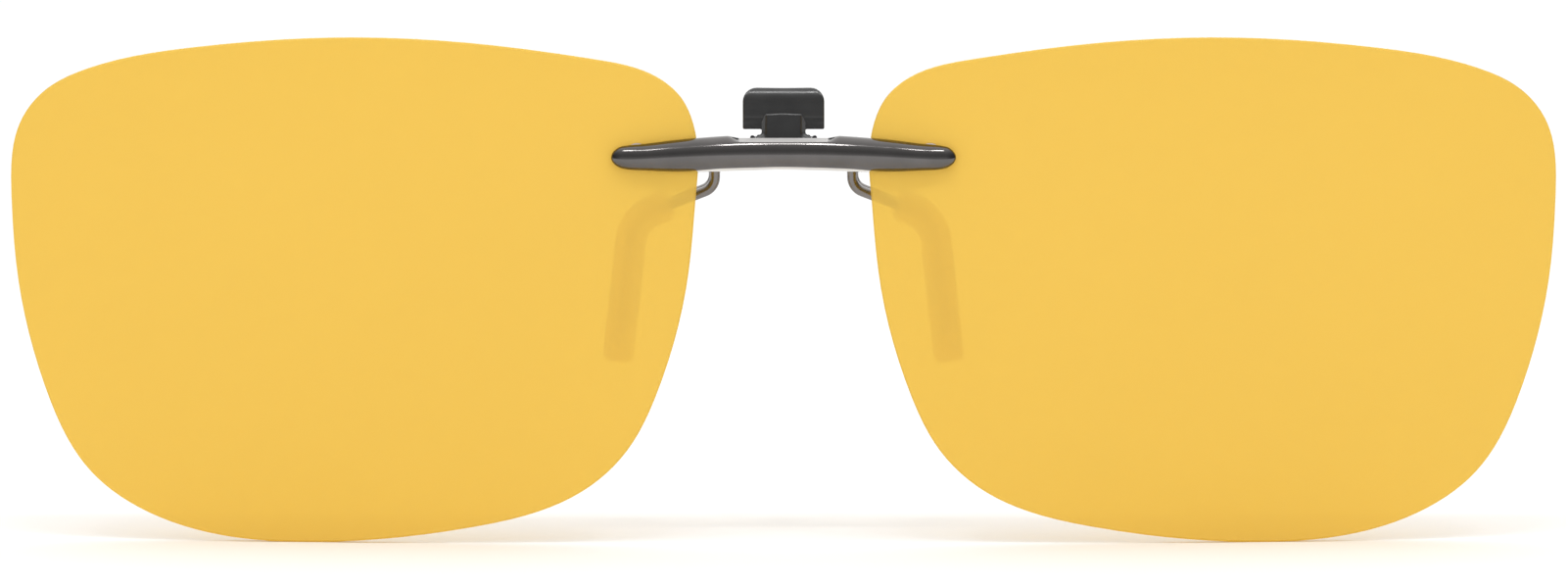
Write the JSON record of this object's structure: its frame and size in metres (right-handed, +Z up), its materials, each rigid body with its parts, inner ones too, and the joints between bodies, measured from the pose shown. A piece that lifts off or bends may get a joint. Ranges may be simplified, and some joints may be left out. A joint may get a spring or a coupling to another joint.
{
  "type": "clip on flip lenses",
  "caption": "Tinted lenses on a slim bridge bar that flip up on a small hinge, held on a wearer's spectacles by a sprung wire clip with soft grips and a thumb lever.",
  "frame": {"origin": "the clamp point: the middle of the gap between the front and rear grips, on the centre plane", "axes": "+X across the face, -Y forward away from the wearer, +Z up; the clip goes down over the spectacles along -Z"},
  "size_m": [0.1352, 0.0131, 0.0443],
  "materials": {
    "amber_lens": "clear amber tint, polished",
    "gunmetal_bar": "satin gunmetal plating",
    "clamp_wire": "satin gunmetal plating",
    "black_sheet": "black satin coating",
    "polished_pin": "turned, peened heads",
    "spring_steel": "blackened spring wire",
    "soft_grip": "clear matt silicone",
    "clear_washer": "clear",
    "nylon_bush": "natural nylon",
    "small_screw": "plated",
    "friction_disc": "acetal"
  },
  "bodies": {
    "clip": {"clip_bracket": "black_sheet", "clamp_pin": "polished_pin", "torsion_spring": "spring_steel", "friction_washer_left": "friction_disc", "friction_washer_right": "friction_disc", "front_wire_left": "clamp_wire", "front_wire_right": "clamp_wire", "front_grip_left": "soft_grip", "front_grip_right": "soft_grip"},
    "rear_jaw": {"thumb_lever": "black_sheet", "rear_wire_left": "clamp_wire", "rear_wire_right": "clamp_wire", "rear_grip_left": "soft_grip", "rear_grip_right": "soft_grip"},
    "lens_frame": {"bridge_bar": "gunmetal_bar", "hinge_leaf": "black_sheet", "leaf_screw_left": "small_screw", "leaf_screw_right": "small_screw", "flip_pin": "polished_pin", "lens_left": "amber_lens", "lens_right": "amber_lens", "lens_washer_1": "clear_washer", "lens_washer_2": "clear_washer", "lens_washer_3": "clear_washer", "lens_washer_4": "clear_washer", "lens_bush_1": "nylon_bush", "lens_bush_2": "nylon_bush", "lens_bush_3": "nylon_bush", "lens_bush_4": "nylon_bush", "lens_screw_1": "small_screw", "lens_screw_2": "small_screw", "lens_screw_3": "small_screw", "lens_screw_4": "small_screw"}
  },
  "joints": [
    {"name": "flip_up", "type": "hinge", "parent": "clip", "child": "lens_frame", "pos_m": [0, -0.0055, 0.0119], "axis": [-1, 0, 0], "range_deg": [0, 90]},
    {"name": "clamp_open", "type": "hinge", "parent": "clip", "child": "rear_jaw", "pos_m": [0, -0.00215, 0.01261], "axis": [1, 0, 0], "range_deg": [0, 18], "stiffness_Nm_per_rad": 0.004, "springref_deg": -5.73, "deforming": ["torsion_spring"]}
  ]
}
